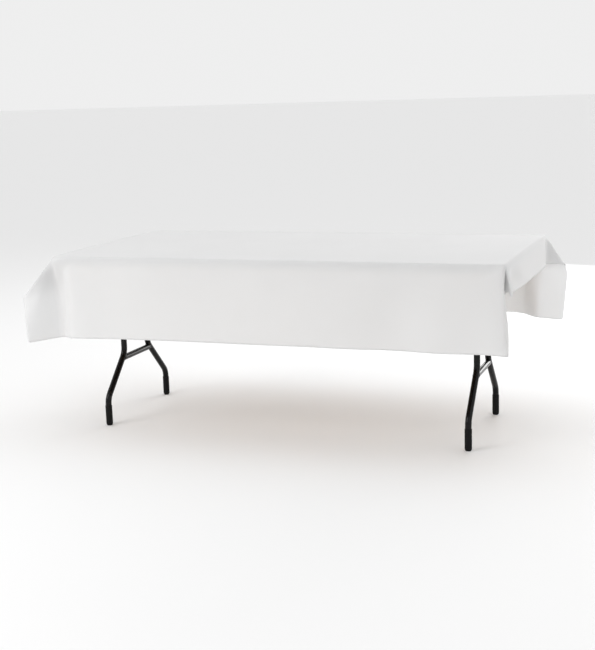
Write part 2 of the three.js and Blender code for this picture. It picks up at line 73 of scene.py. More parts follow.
# %% [markdown]
# ## Camera
# The camera stands in front of the table, to the right of its middle and 1.35 m above the
# floor, and looks a little down and to the left. It could be placed with a Track To
# constraint, but its slight roll is easier to state as three turns: yaw, pitch and roll.

# %% Camera
MM = 0.001
SENSOR_WIDTH = 36.0


def aim_camera(place, yaw, pitch, roll, lens):
    """A camera at place, in metres, turned by yaw, pitch and roll, in radians."""
    forward = Vector((
        -math.sin(yaw) * math.cos(pitch),
        math.cos(yaw) * math.cos(pitch),
        -math.sin(pitch),
    ))
    level_right = Vector((math.cos(yaw), math.sin(yaw), 0))
    level_up = level_right.cross(forward)
    right = math.cos(roll) * level_right + math.sin(roll) * level_up
    up = math.cos(roll) * level_up - math.sin(roll) * level_right
    data = bpy.data.cameras.new("camera")
    data.sensor_width = SENSOR_WIDTH
    data.lens = lens
    camera = bpy.data.objects.new("camera", data)
    turn = Matrix((right, up, -forward)).transposed().to_4x4()
    camera.matrix_world = Matrix.Translation(place) @ turn
    bpy.context.scene.collection.objects.link(camera)
    bpy.context.scene.camera = camera
    return camera


camera = aim_camera(
    place=(1.6804, -4.6389, 1.3474), yaw=0.3549, pitch=0.1879, roll=-0.0311, lens=66.97
)
print("camera at", tuple(round(v, 3) for v in camera.location))

# %% [markdown]
# ## Floor and light
# The table stands on a plain pale floor in soft studio light. Most of the light comes from
# an even white surround. A large lamp to the left of the camera makes the long drop a
# little brighter at its upper left, a weak one on the right lifts the end flap, and one
# behind the table lights the far side of the cloth and the floor under the table.

# %% Floor and light
FLOOR_SIZE = 400.0
FLOOR_TONE = 0.92
FLOOR_DRIFT = 0.01
FLOOR_DRIFT_SCALE = 2.0
FLOOR_ROUGHNESS = 0.8
LAMPS = {
    "key_lamp": {"place": (-2.6, -3.2, 2.6), "power": 50, "size": 2.0},
    "fill_lamp": {"place": (4.0, -3.0, 2.4), "power": 6, "size": 2.4},
    "back_lamp": {"place": (1.0, 4.2, 1.6), "power": 90, "size": 2.6},
}
SURROUND_COLOUR = (1.0, 1.0, 1.0)
SURROUND_STRENGTH = 0.86
table_middle = (cad_box[0] + cad_box[1]) / 2


def floor_finish():
    """Pale matt paint with a faint drift in tone."""
    material = bpy.data.materials.new("floor_paint")
    material.use_nodes = True
    tree = material.node_tree
    drift = tree.nodes.new("ShaderNodeTexNoise")
    drift.inputs["Scale"].default_value = FLOOR_DRIFT_SCALE
    tone = tree.nodes.new("ShaderNodeMapRange")
    tone.inputs["To Min"].default_value = FLOOR_TONE - FLOOR_DRIFT
    tone.inputs["To Max"].default_value = FLOOR_TONE + FLOOR_DRIFT
    shader = tree.nodes["Principled BSDF"]
    shader.inputs["Roughness"].default_value = FLOOR_ROUGHNESS
    tree.links.new(drift.outputs["Fac"], tone.inputs["Value"])
    tree.links.new(tone.outputs["Result"], shader.inputs["Base Color"])
    return material


def lay_floor():
    """A wide pale plane that everything stands on."""
    mesh = bpy.data.meshes.new("floor")
    half = FLOOR_SIZE / 2
    corners = [(-half, -half, 0), (half, -half, 0), (half, half, 0), (-half, half, 0)]
    mesh.from_pydata(corners, [], [(0, 1, 2, 3)])
    floor = bpy.data.objects.new("floor", mesh)
    bpy.context.scene.collection.objects.link(floor)
    floor.data.materials.append(floor_finish())
    return floor


def hang_lamp(name, place, power, size):
    """A square area lamp that faces the middle of the table."""
    data = bpy.data.lights.new(name, "AREA")
    data.energy = power
    data.size = size
    lamp = bpy.data.objects.new(name, data)
    lamp.location = place
    way = table_middle - Vector(place)
    lamp.rotation_euler = way.to_track_quat("-Z", "Y").to_euler()
    bpy.context.scene.collection.objects.link(lamp)
    return lamp


def light_the_room(colour, strength):
    """An even white surround."""
    world = bpy.data.worlds.new("studio")
    world.use_nodes = True
    background = world.node_tree.nodes["Background"]
    background.inputs["Color"].default_value = (*colour, 1)
    background.inputs["Strength"].default_value = strength
    bpy.context.scene.world = world


floor = lay_floor()
for lamp_name, lamp_values in LAMPS.items():
    hang_lamp(lamp_name, **lamp_values)
light_the_room(SURROUND_COLOUR, SURROUND_STRENGTH)
bpy.context.scene.view_settings.view_transform = "Standard"

# %% [markdown]
# ## A helper for finishes
# Every finish is a small network of shader nodes. Wiring one by hand takes many lines, so
# a value that flows between two nodes is wrapped in a class that knows the usual signs
# for sums, and one method makes any node from its type, its settings and its inputs.

# %% Shader helper
MIX_FIRST_COLOUR = 6
MIX_SECOND_COLOUR = 7
MIX_COLOUR_RESULT = 2


class Signal:
    """A value on its way from one shader node to the next."""

    def __init__(self, finish, socket):
        self.finish = finish
        self.socket = socket

    def combine(self, operation, first, second):
        """One Math node with two inputs."""
        return self.finish.signal(
            "ShaderNodeMath", {"operation": operation}, {0: first, 1: second}
        )

    def __add__(self, other):
        return self.combine("ADD", self, other)

    def __radd__(self, other):
        return self.combine("ADD", other, self)

    def __sub__(self, other):
        return self.combine("SUBTRACT", self, other)

    def __rsub__(self, other):
        return self.combine("SUBTRACT", other, self)

    def __mul__(self, other):
        return self.combine("MULTIPLY", self, other)

    def __rmul__(self, other):
        return self.combine("MULTIPLY", other, self)


class Finish:
    """A material and the nodes that make it."""

    def __init__(self, name):
        self.material = bpy.data.materials.new(name)
        self.material.use_nodes = True
        self.tree = self.material.node_tree
        self.shader = self.tree.nodes["Principled BSDF"]
        self.place = self.signal("ShaderNodeTexCoord", output="Object")

    def feed(self, socket, value):
        """Links a signal to a socket, or sets the socket to a plain value."""
        if isinstance(value, Signal):
            self.tree.links.new(value.socket, socket)
        else:
            socket.default_value = value

    def node(self, kind, settings, values):
        """A new node of a kind, with its settings and its inputs."""
        made = self.tree.nodes.new(kind)
        for name, value in settings.items():
            setattr(made, name, value)
        for key, value in values.items():
            self.feed(made.inputs[key], value)
        return made

    def signal(self, kind, settings=None, values=None, output=0):
        """What comes out of a new node."""
        return Signal(self, self.node(kind, settings or {}, values or {}).outputs[output])

    def noise(self, scale, detail=4.0, stretch=(1, 1, 1)):
        """Soft cloudy noise, drawn out along an axis where its stretch is below 1."""
        place = self.signal(
            "ShaderNodeMapping", {}, {"Vector": self.place, "Scale": stretch}
        )
        values = {"Vector": place, "Scale": scale, "Detail": detail}
        return self.signal("ShaderNodeTexNoise", {}, values, "Fac")

    def mix(self, factor, first, second):
        """A blend of two colours."""
        values = {0: factor, MIX_FIRST_COLOUR: first, MIX_SECOND_COLOUR: second}
        settings = {"data_type": "RGBA"}
        return self.signal("ShaderNodeMix", settings, values, MIX_COLOUR_RESULT)

    def bump(self, height, strength, distance):
        """Gives the shader the small relief of a height."""
        values = {"Height": height, "Strength": strength, "Distance": distance}
        self.set("Normal", self.signal("ShaderNodeBump", {}, values))

    def set(self, name, value):
        """One input of the finish's shader."""
        self.feed(self.shader.inputs[name], value)


print("Principled inputs", len(Finish("probe").shader.inputs))
bpy.data.materials.remove(bpy.data.materials["probe"])

# %% [markdown]
# ## Finish: white non-woven cloth
# The cloth is pressed from fine white fibres with no weave to be seen. A cloth texture of
# crossed threads would be wrong for it, so the surface is a faint, fine felt: long soft
# noise for the fibres and a slow drift in brightness where the cloth is thinner.

# %% Finish of the cloth


def cloth_finish():
    """Smooth matt white felt of fine fibres."""
    finish = Finish("white_cloth")
    drift = finish.noise(scale=3.0, detail=2.0)
    fibres = finish.noise(scale=700.0, detail=3.0, stretch=(1, 0.35, 1))
    white = finish.mix(drift, (0.71, 0.71, 0.71, 1), (0.755, 0.755, 0.755, 1))
    finish.set("Base Color", white)
    finish.set("Roughness", 0.78 + 0.14 * fibres)
    finish.set("Subsurface Weight", 0.5)
    finish.set("Subsurface Radius", (1.0, 1.0, 1.0))
    finish.set("Subsurface Scale", 3 * MM)
    finish.set("Specular IOR Level", 0.25)
    finish.bump(fibres, strength=0.12, distance=0.3 * MM)
    return finish.material


# %% [markdown]
# ## Finishes: the top
# The top is a plywood board with a pale speckled laminate above and a brown vinyl band
# round its edge. The ply's grain runs along the table, so its noise is drawn out along X.
# The laminate's specks are small cells of a Voronoi pattern, each a little darker or not.

# %% Finishes of the top


def laminate_finish():
    """Pale grey laminate with fine specks."""
    finish = Finish("speckled_laminate")
    cells = {"Vector": finish.place, "Scale": 900.0}
    specks = finish.signal("ShaderNodeTexVoronoi", {}, cells, "Distance")
    finish.set("Base Color", finish.mix(specks, (0.55, 0.54, 0.52, 1), (0.70, 0.69, 0.66, 1)))
    finish.set("Roughness", 0.38 + 0.12 * finish.noise(scale=60.0))
    return finish.material


def plywood_finish():
    """Sanded pale brown ply with its grain along the table."""
    finish = Finish("sanded_plywood")
    grain = finish.noise(scale=60.0, detail=8.0, stretch=(0.06, 1, 1))
    streaks = finish.noise(scale=14.0, detail=3.0, stretch=(0.1, 1, 1))
    wood = finish.mix(grain, (0.42, 0.27, 0.15, 1), (0.62, 0.44, 0.27, 1))
    finish.set("Base Color", finish.mix(0.4 * streaks, wood, (0.34, 0.20, 0.10, 1)))
    finish.set("Roughness", 0.62 + 0.20 * grain)
    finish.bump(grain, strength=0.25, distance=0.4 * MM)
    return finish.material


def band_finish():
    """Dark brown vinyl with a fine leather grain."""
    finish = Finish("vinyl_band")
    cells = {"Vector": finish.place, "Scale": 450.0}
    pebbles = finish.signal("ShaderNodeTexVoronoi", {}, cells, "Distance")
    wear = finish.noise(scale=25.0)
    finish.set("Base Color", finish.mix(wear, (0.035, 0.025, 0.02, 1), (0.06, 0.045, 0.035, 1)))
    finish.set("Roughness", 0.42 + 0.18 * wear)
    finish.bump(pebbles, strength=0.2, distance=0.2 * MM)
    return finish.material


# %% [markdown]
# ## Finishes: enamel, moulded plastic and zinc
# The legs and rails are dipped in glossy black enamel, which has a slow orange-peel ripple
# and thin dust in places. The foot sleeves are moulded in matt dark grey plastic with a
# spark-eroded grain. Brackets, links, screws and rivets are zinc plated steel: bright, a
# little blue, and clouded where the plating is thin.

# %% Finishes of the metal and plastic parts


def enamel_finish():
    """Glossy black enamel on steel."""
    finish = Finish("black_enamel")
    ripple = finish.noise(scale=120.0, detail=1.0)
    dust = finish.noise(scale=18.0, detail=6.0)
    black = finish.mix(dust, (0.002, 0.002, 0.002, 1), (0.006, 0.006, 0.006, 1))
    finish.set("Base Color", black)
    finish.set("Roughness", 0.08 + 0.12 * dust)
    finish.set("Specular IOR Level", 0.20)
    finish.bump(ripple, strength=0.06, distance=0.3 * MM)
    return finish.material


def plastic_finish():
    """Matt dark grey plastic with a fine moulded grain."""
    finish = Finish("foot_plastic_matt")
    grain = finish.noise(scale=900.0, detail=2.0)
    scuffs = finish.noise(scale=40.0, detail=6.0)
    grey = finish.mix(scuffs, (0.003, 0.003, 0.003, 1), (0.010, 0.010, 0.010, 1))
    finish.set("Base Color", grey)
    finish.set("Roughness", 0.55 + 0.22 * scuffs)
    finish.set("Specular IOR Level", 0.15)
    finish.bump(grain, strength=0.3, distance=0.2 * MM)
    return finish.material


def zinc_finish():
    """Zinc plated steel."""
    finish = Finish("zinc_plate")
    clouds = finish.noise(scale=90.0, detail=5.0)
    finish.set("Base Color", finish.mix(clouds, (0.52, 0.54, 0.57, 1), (0.74, 0.75, 0.76, 1)))
    finish.set("Metallic", 1.0)
    finish.set("Roughness", 0.28 + 0.22 * clouds)
    finish.bump(clouds, strength=0.08, distance=0.2 * MM)
    return finish.material


finishes = {
    "cloth": cloth_finish(),
    "laminate": laminate_finish(),
    "plywood": plywood_finish(),
    "edge_band": band_finish(),
    "black_steel": enamel_finish(),
    "foot_plastic": plastic_finish(),
    "zinc_steel": zinc_finish(),
}
for part in frame["record"]["subparts"]:
    slots = nodes[part["node"]].data.materials
    for index in range(len(slots)):
        slots[index] = finishes[part["material_slot"]]
print("finishes", sorted(finishes))

# %% [markdown]
# ## The sheet, laid out flat
# The tablecloth is one rectangle, cut large enough to hang a long way down the two long
# sides and a hand's width over the ends. It is modelled flat first, because a cloth only
# falls in true folds when the simulation knows its flat size. The grid is fine near the
# table's edges, where it bends, and coarse over the flat middle.

# %% The flat sheet
FRONT_DROP = 331 * MM
BACK_DROP = 350 * MM
LEFT_DROP = 140 * MM
RIGHT_DROP = 120 * MM
FINE_PITCH = 17.5 * MM
COARSE_PITCH = 35 * MM
FINE_MARGIN = 100 * MM
CLOTH_LIFT = 4 * MM

band_low, band_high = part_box("edge_band")
half_length = band_high.x
half_width = band_high.y
face_height = band_high.z


def even_steps(start, end, pitch):
    """Numbers from start up to, but without, end, about a pitch apart."""
    count = max(1, round((end - start) / pitch))
    return [start + (end - start) * k / count for k in range(count)]


def grid_lines(half, low_drop, high_drop):
    """Where the sheet's grid lines cross one axis."""
    inner = half - FINE_MARGIN
    return (
        even_steps(-half - low_drop, -half, FINE_PITCH)
        + even_steps(-half, -inner, FINE_PITCH)
        + even_steps(-inner, inner, COARSE_PITCH)
        + even_steps(inner, half, FINE_PITCH)
        + even_steps(half, half + high_drop, FINE_PITCH)
        + [half + high_drop]
    )


columns = grid_lines(half_length, LEFT_DROP, RIGHT_DROP)
rows = grid_lines(half_width, FRONT_DROP, BACK_DROP)
flat_points = [(x, y) for y in rows for x in columns]

# %% [markdown]
# ## Folding the sheet over the edges
# A sheet dropped from above swings for a long time before it hangs still. It settles much
# sooner when it starts neatly folded over the four edges, as it is when someone smooths it
# by hand. The spare cloth at each corner starts as a flat double ear. Three of the ears
# stand out and the one at the front right is tucked back behind the right end's flap.

# %% The folded start
LAYER_GAP = 3 * MM
EAR_WAYS = {
    (-1, -1): (-0.75, -0.66),
    (1, -1): (-0.25, 0.97),
    (1, 1): (0.86, 0.51),
    (-1, 1): (-0.71, 0.71),
}


def ear_point(side_x, side_y, past_end, past_side):
    """A point of the spare cloth at one corner, in its flat double ear."""
    along = min(past_end, past_side)
    height = face_height + CLOTH_LIFT - max(past_end, past_side)
    near_long_side = past_end <= past_side
    corner_x = side_x * (half_length + LAYER_GAP)
    corner_y = side_y * (half_width + LAYER_GAP)
    way = Vector(EAR_WAYS[(side_x, side_y)]).normalized()
    across = Vector((-way.y, way.x))
    if across.y * side_y < 0:
        across.negate()
    offset = LAYER_GAP if near_long_side else -LAYER_GAP
    return (
        corner_x + along * way.x + offset * across.x,
        corner_y + along * way.y + offset * across.y,
        height,
    )


def folded(x, y):
    """Where a point of the flat sheet is once it is folded over the top's edges."""
    side_x = 1 if x > 0 else -1
    side_y = 1 if y > 0 else -1
    past_end = max(0.0, abs(x) - half_length)
    past_side = max(0.0, abs(y) - half_width)
    height = face_height + CLOTH_LIFT
    if past_end > 0 and past_side > 0:
        return ear_point(side_x, side_y, past_end, past_side)
    if past_end > 0:
        return (side_x * (half_length + LAYER_GAP), y, height - past_end)
    if past_side > 0:
        return (x, side_y * (half_width + LAYER_GAP), height - past_side)
    return (x, y, height)


def mesh_object(name, points, edges=(), faces=()):
    """A new mesh object in the scene."""
    mesh = bpy.data.meshes.new(name)
    mesh.from_pydata(points, edges, faces)
    mesh.update()
    made = bpy.data.objects.new(name, mesh)
    bpy.context.scene.collection.objects.link(made)
    return made


def prism(name, outline, heights):
    """A closed upright prism over an outline, from one height up to the other."""
    count = len(outline)
    points = [(x, y, z) for z in heights for x, y in outline]
    walls = [
        (k, (k + 1) % count, count + (k + 1) % count, count + k) for k in range(count)
    ]
    caps = [tuple(range(count - 1, -1, -1)), tuple(range(count, 2 * count))]
    return mesh_object(name, points, faces=walls + caps)


def sheet_faces():
    """The squares of the sheet's grid."""
    width = len(columns)
    faces = []
    for row in range(len(rows) - 1):
        for column in range(width - 1):
            first = row * width + column
            faces.append((first, first + 1, first + width + 1, first + width))
    return faces


sheet = mesh_object("sheet", [folded(x, y) for x, y in flat_points], faces=sheet_faces())
print("folded sheet", len(sheet.data.polygons), "squares")

# %% [markdown]
# ## How the corners hang
# At each corner the doubled cloth is stiffer than the rest and keeps the way it was laid.
# Sixteen points of the cloth are therefore drawn to where they hang, so they are guided and
# not free. At the three ears that stand out they are the tip of the ear and the sheet's
# own corner below it, and at the front left one more point between the two. At the front
# right six points lead the ear in behind the end flap, and three more shape that flap's
# hem. The rest of the drops is left to the simulation.

# %% Pegs
FIRM = 0.9
EASY = 0.6


def corner_peg(side_x, side_y, flat, hung, pull):
    """Draws a point of the sheet, near one corner, to where it hangs.

    The flat place is how far it is past the top's end and past its long side. The hung
    place is the same, and then how far it is below the top's face.
    """
    flat_place = (side_x * (half_length + flat[0]), side_y * (half_width + flat[1]))
    hung_place = (
        side_x * (half_length + hung[0]),
        side_y * (half_width + hung[1]),
        face_height - hung[2],
    )
    return flat_place, hung_place, pull


def flap_peg(y, past_end, drop):
    """A peg on the hem of the right end's flap."""
    return (half_length + RIGHT_DROP, y), (half_length + past_end, y, face_height - drop), EASY


front_left_ear = [
    corner_peg(-1, -1, (LEFT_DROP, 0.100), (0.0805, 0.068, 0.105), EASY),
    corner_peg(-1, -1, (LEFT_DROP, 0.200), (0.0785, 0.083, 0.207), EASY),
    corner_peg(-1, -1, (LEFT_DROP, FRONT_DROP), (0.0735, 0.100, 0.339), FIRM),
]
back_left_ear = [
    corner_peg(-1, 1, (LEFT_DROP, 0.120), (0.0805, 0.063, 0.130), EASY),
    corner_peg(-1, 1, (LEFT_DROP, BACK_DROP), (0.0655, 0.088, 0.352), FIRM),
]
back_right_ear = [
    corner_peg(1, 1, (RIGHT_DROP, 0.085), (0.0885, 0.043, 0.115), EASY),
    corner_peg(1, 1, (RIGHT_DROP, BACK_DROP), (0.0725, 0.018, 0.368), FIRM),
]
front_right_tuck = [
    corner_peg(1, -1, (FINE_PITCH, 0.190), (FINE_PITCH, 0.004, 0.190), EASY),
    corner_peg(1, -1, (FINE_PITCH, FRONT_DROP), (0.0155, 0.004, 0.329), FIRM),
    corner_peg(1, -1, (RIGHT_DROP, 0.035), (0.0100, -0.030, 0.085), EASY),
    corner_peg(1, -1, (RIGHT_DROP, 0.070), (-0.0080, -0.070, 0.088), EASY),
    corner_peg(1, -1, (RIGHT_DROP, 0.120), (-0.0300, -0.095, 0.118), EASY),
    corner_peg(1, -1, (RIGHT_DROP, FRONT_DROP), (-0.0260, -0.098, 0.330), FIRM),
]
right_flap = [
    flap_peg(-0.33, 0.0130, 0.099),
    flap_peg(-0.10, 0.0190, 0.110),
    flap_peg(0.15, 0.0240, 0.117),
]
pegs = front_left_ear + back_left_ear + back_right_ear + front_right_tuck + right_flap
print("pegs", len(pegs))

# %% [markdown]
# ## Letting it hang
# The cloth lies still on the table, so the middle is held and only the rim and the drops
# are free. The table is a thin slab with the top's rounded corners. Slow, heavy damping
# brings the cloth to rest within two seconds of its own time. The simulation starts from
# the folded sheet, which lets the folds stay as soft creases, as in a cloth that has
# lain over the table for a while.

# %% Simulation
HELD_MARGIN = 30 * MM
HELD_CORNER = 120 * MM
HELD_CORNER_RADIUS = 90 * MM
TOP_CORNER_RADIUS = 65 * MM
TOP_CORNER_STEPS = 8
PEG_FRAMES = 18
LAST_FRAME = 45


def is_held(x, y):
    """True for the part of the sheet that lies on the table and can't slide."""
    corner_x = max(0.0, abs(x) - (half_length - HELD_CORNER))
    corner_y = max(0.0, abs(y) - (half_width - HELD_CORNER))
    return (
        abs(x) < half_length - HELD_MARGIN
        and abs(y) < half_width - HELD_MARGIN
        and math.hypot(corner_x, corner_y) < HELD_CORNER_RADIUS
    )


def nearest_point(place):
    """The index of the sheet's point nearest to a place on the flat sheet."""
    gaps = np.hypot(*(np.array(flat_points) - place).T)
    return int(np.argmin(gaps))


def set_pegs(sheet):
    """Holds the middle, and moves the pegged points to where they hang."""
    held = sheet.vertex_groups.new(name="held")
    middle = [i for i, (x, y) in enumerate(flat_points) if is_held(x, y)]
    held.add(middle, 1.0, "REPLACE")
    sheet.shape_key_add(name="folded")
    hung = sheet.shape_key_add(name="hung")
    for flat_place, place, pull in pegs:
        index = nearest_point(flat_place)
        held.add([index], pull, "REPLACE")
        hung.data[index].co = place
    for frame_number, value in ((1, 0.0), (PEG_FRAMES, 1.0)):
        hung.value = value
        hung.keyframe_insert("value", frame=frame_number)


def slab_under_cloth():
    """The table's top as the simulation meets it, with its rounded corners."""
    radius = TOP_CORNER_RADIUS
    outline = []
    turns = ((1, 1), (-1, 1), (-1, -1), (1, -1))
    for quarter, (side_x, side_y) in enumerate(turns):
        for step in range(TOP_CORNER_STEPS + 1):
            angle = math.radians(90 * quarter + 90 * step / TOP_CORNER_STEPS)
            outline.append((
                side_x * (half_length - radius) + radius * math.cos(angle),
                side_y * (half_width - radius) + radius * math.sin(angle),
            ))
    slab = prism("slab", outline, (band_low.z, face_height))
    slab.modifiers.new("collision", "COLLISION")
    slab.collision.thickness_outer = 2 * MM
    slab.collision.cloth_friction = 5
    slab.collision.damping = 0.5
    return slab


def cloth_settings(sheet):
    """A light, soft and well damped cloth."""
    cloth = sheet.modifiers.new("cloth", "CLOTH")
    cloth.settings.quality = 8
    cloth.settings.mass = 0.15
    cloth.settings.air_damping = 3
    cloth.settings.tension_stiffness = 60
    cloth.settings.compression_stiffness = 60
    cloth.settings.shear_stiffness = 30
    cloth.settings.bending_stiffness = 5
    cloth.settings.tension_damping = 8
    cloth.settings.compression_damping = 8
    cloth.settings.shear_damping = 5
    cloth.settings.bending_damping = 0.5
    cloth.settings.vertex_group_mass = "held"
    cloth.settings.pin_stiffness = 1
    cloth.collision_settings.distance_min = 2.5 * MM
    cloth.collision_settings.collision_quality = 3
    cloth.collision_settings.use_self_collision = True
    cloth.collision_settings.self_distance_min = 3 * MM
    cloth.point_cache.frame_start = 1
    cloth.point_cache.frame_end = LAST_FRAME


def frozen(piece, name):
    """A plain mesh object made from a piece as its modifiers leave it."""
    bpy.context.view_layer.update()
    evaluated = piece.evaluated_get(bpy.context.evaluated_depsgraph_get())
    mesh = bpy.data.meshes.new_from_object(evaluated)
    mesh.name = name
    made = bpy.data.objects.new(name, mesh)
    bpy.context.scene.collection.objects.link(made)
    bpy.data.objects.remove(piece)
    return made


def hang(sheet):
    """Runs the simulation and gives back the cloth at rest."""
    set_pegs(sheet)
    slab = slab_under_cloth()
    cloth_settings(sheet)
    for frame_number in range(1, LAST_FRAME + 1):
        bpy.context.scene.frame_set(frame_number)
    hung = frozen(sheet, "hung_sheet")
    bpy.data.objects.remove(slab)
    bpy.context.scene.frame_set(1)
    return hung


hung_sheet = hang(sheet)
heights = [v.co.z for v in hung_sheet.data.vertices]
print("hem down to", round(min(heights), 3), "m, rim up to", round(max(heights), 3), "m")

# %% [markdown]
# ## The finished cloth
# The simulated sheet has no thickness. One level of subdivision rounds its folds, and a
# Solidify modifier then gives it the thickness of the cloth with a closed hem. Both are
# applied, so the finished piece is a plain mesh.

# %% The cloth as a thin solid
CLOTH_THICKNESS = 0.6 * MM


def finish_cloth(sheet):
    """The cloth, smooth and closed, lying on the table."""
    smoothing = sheet.modifiers.new("smoothing", "SUBSURF")
    smoothing.levels = 1
    smoothing.render_levels = 1
    solid = sheet.modifiers.new("solid", "SOLIDIFY")
    solid.thickness = CLOTH_THICKNESS
    solid.offset = 0
    cloth = frozen(sheet, "draped_cloth")
    cloth.data.materials.clear()
    cloth.data.materials.append(finishes["cloth"])
    cloth.data.shade_smooth()
    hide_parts("tablecloth")
    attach(cloth, "table_top")
    return cloth


draped_cloth = finish_cloth(hung_sheet)
print("cloth", len(draped_cloth.data.polygons), "faces")

# %% [markdown]
# ## Parts that follow a path
# The leg tubes, cross bars and stay bars are round tubes bent or cut to length. Each is
# drawn as a bare line of edges, and a Geometry Nodes tree rounds its bends and sweeps a
# circle along it. The same kind of tree lays a weld bead along a closed loop, with noise
# that gives the bead its uneven ripple. The result is kept as a plain mesh.

# %% Trees for tubes and weld beads
TUBE_SIDES = 40
BEAD_SIDES = 8
BEAD_STEPS = 72
BEND_STEPS = 14
RIPPLE_SCALE = 260.0


def new_tree(name, inputs):
    """A Geometry Nodes tree with a geometry input and some named inputs."""
    tree = bpy.data.node_groups.new(name, "GeometryNodeTree")
    face = tree.interface
    face.new_socket("Geometry", in_out="INPUT", socket_type="NodeSocketGeometry")
    for label, kind in inputs.items():
        face.new_socket(label, in_out="INPUT", socket_type=kind)
    face.new_socket("Geometry", in_out="OUTPUT", socket_type="NodeSocketGeometry")
    return tree, tree.nodes.new("NodeGroupInput").outputs


def add_node(tree, kind, settings=None, **values):
    """A node in a tree. A value that is a socket is linked and any other is set."""
    made = tree.nodes.new(kind)
    for name, value in (settings or {}).items():
        setattr(made, name, value)
    for name, value in values.items():
        socket = made.inputs[name.replace("_", " ")]
        if isinstance(value, bpy.types.NodeSocket):
            tree.links.new(value, socket)
        else:
            socket.default_value = value
    return made.outputs


def end_tree(tree, geometry, material):
    """Shades smooth, realizes, sets the material and ends the tree."""
    smooth = add_node(tree, "GeometryNodeSetShadeSmooth", Geometry=geometry)[0]
    real = add_node(tree, "GeometryNodeRealizeInstances", Geometry=smooth)[0]
    done = add_node(tree, "GeometryNodeSetMaterial", Geometry=real, Material=material)[0]
    add_node(tree, "NodeGroupOutput", Geometry=done)


def tube_tree():
    """Sweeps a round tube along a line of edges and rounds its bends."""
    tree, given = new_tree("tubes", {
        "Tube Radius": "NodeSocketFloat",
        "Bend Radius": "NodeSocketFloat",
        "Material": "NodeSocketMaterial",
    })
    line = add_node(tree, "GeometryNodeMeshToCurve", Mesh=given["Geometry"])[0]
    bent = add_node(
        tree, "GeometryNodeFilletCurve", {"mode": "POLY"},
        Curve=line, Count=BEND_STEPS, Radius=given["Bend Radius"],
    )[0]
    ring = add_node(
        tree, "GeometryNodeCurvePrimitiveCircle",
        Resolution=TUBE_SIDES, Radius=given["Tube Radius"],
    )[0]
    tube = add_node(
        tree, "GeometryNodeCurveToMesh", Curve=bent, Profile_Curve=ring, Fill_Caps=True
    )[0]
    end_tree(tree, tube, given["Material"])
    return tree


def bead_tree():
    """Lays an uneven weld bead along closed loops of edges."""
    tree, given = new_tree("weld_beads", {
        "Bead Radius": "NodeSocketFloat",
        "Ripple": "NodeSocketFloat",
        "Seed": "NodeSocketFloat",
        "Material": "NodeSocketMaterial",
    })
    line = add_node(tree, "GeometryNodeMeshToCurve", Mesh=given["Geometry"])[0]
    even = add_node(tree, "GeometryNodeResampleCurve", Curve=line, Count=BEAD_STEPS)[0]
    ring = add_node(
        tree, "GeometryNodeCurvePrimitiveCircle",
        Resolution=BEAD_SIDES, Radius=given["Bead Radius"],
    )[0]
    bead = add_node(tree, "GeometryNodeCurveToMesh", Curve=even, Profile_Curve=ring)[0]
    noise = add_node(
        tree, "ShaderNodeTexNoise", {"noise_dimensions": "4D"}, W=given["Seed"], Scale=RIPPLE_SCALE
    )["Fac"]
    lift = add_node(tree, "ShaderNodeMath", {"operation": "MULTIPLY"}, Value=noise)
    tree.links.new(given["Ripple"], lift["Value"].node.inputs[1])
    normal = add_node(tree, "GeometryNodeInputNormal")["Normal"]
    push = add_node(
        tree, "ShaderNodeVectorMath", {"operation": "SCALE"}, Vector=normal, Scale=lift[0]
    )["Vector"]
    rippled = add_node(tree, "GeometryNodeSetPosition", Geometry=bead, Offset=push)[0]
    end_tree(tree, rippled, given["Material"])
    return tree


def grown(points, tree, values, name):
    """Runs a tree on an object and keeps what it makes as a plain mesh."""
    modifier = points.modifiers.new("grow", "NODES")
    modifier.node_group = tree
    for item in tree.interface.items_tree:
        if item.in_out == "INPUT" and item.name in values:
            modifier[item.identifier] = values[item.name]
    return frozen(points, name)


def joined(pieces, name):
    """One object made of several, all of one material."""
    together = bmesh.new()
    material = pieces[0].data.materials[0]
    for piece in pieces:
        together.from_mesh(piece.data)
        bpy.data.objects.remove(piece)
    mesh = bpy.data.meshes.new(name)
    bmesh.ops.recalc_face_normals(together, faces=together.faces)
    together.to_mesh(mesh)
    together.free()
    mesh.materials.append(material)
    made = bpy.data.objects.new(name, mesh)
    bpy.context.scene.collection.objects.link(made)
    return made


tubes = tube_tree()
beads = bead_tree()
print("trees", tubes.name, beads.name)

# %% [markdown]
# ## The wishbone leg frames
# Each end stands on two tubes that run down from a hinge tube, spread below the waist and
# turn upright again into the feet. A cross bar ties them at the waist and a thinner bar
# carries the folding stay. All of them are welded, so a bead runs round every joint.

# %% Leg tubes, bars and welds
BEND_RADIUS = 60 * MM
CROSS_BAR_DROP = 21 * MM
BEAD_RADIUS = 1.3 * MM
BEAD_RIPPLE = 0.9 * MM
WELD_SEED = 7.0
LOOP_STEPS = 24
MEETING_STEP = 0.2 * MM
MEETING_STEPS = 500
WELD_FIT = 0.4 * MM
LEG_START_RADII = 2
BAR_START_RADII = 4
ENDS = ("left", "right")
LEGS = ("front", "back")


def middle_of(node):
    """The middle of a CAD node's box."""
    low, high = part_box(node)
    return (low + high) / 2


def bar_line(bar):
    """The axis of a bar along Y."""
    low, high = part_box(bar)
    middle = (low + high) / 2
    return [Vector((middle.x, low.y, middle.z)), Vector((middle.x, high.y, middle.z))]


def bar_radius(bar):
    """Half the thickness of a bar along Y."""
    low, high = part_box(bar)
    return (high.z - low.z) / 2


